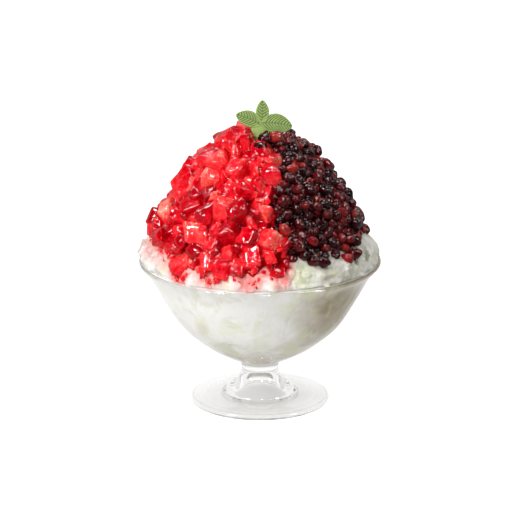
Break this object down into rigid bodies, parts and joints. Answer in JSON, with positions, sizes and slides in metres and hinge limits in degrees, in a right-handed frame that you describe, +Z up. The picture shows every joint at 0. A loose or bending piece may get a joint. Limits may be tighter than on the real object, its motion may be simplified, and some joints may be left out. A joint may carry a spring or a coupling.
{
  "type": "bingsu",
  "caption": "Footed clear glass bowl heaped with shaved ice, topped with chopped strawberries on one side and sweet red beans on the other, with a small moulded green leaf.",
  "frame": {"origin": "on the bowl's axis, on the surface that the foot stands on", "axes": "+Z up along the bowl's axis, -Y towards the side that shows both toppings, +X towards the beans' side"},
  "size_m": [0.1654, 0.1654, 0.2145],
  "materials": {
    "clear_glass": "clear, polished",
    "shaved_ice": "matt white flakes",
    "strawberries": "glossy, wet with syrup",
    "red_beans": "glossy, wet with syrup",
    "green_moulding": "satin, pressed veins"
  },
  "bodies": {
    "root": {"glass_bowl": "clear_glass", "shaved_ice": "shaved_ice", "chopped_strawberries": "strawberries", "sweet_red_beans": "red_beans", "leaf_garnish": "green_moulding"}
  },
  "joints": []
}
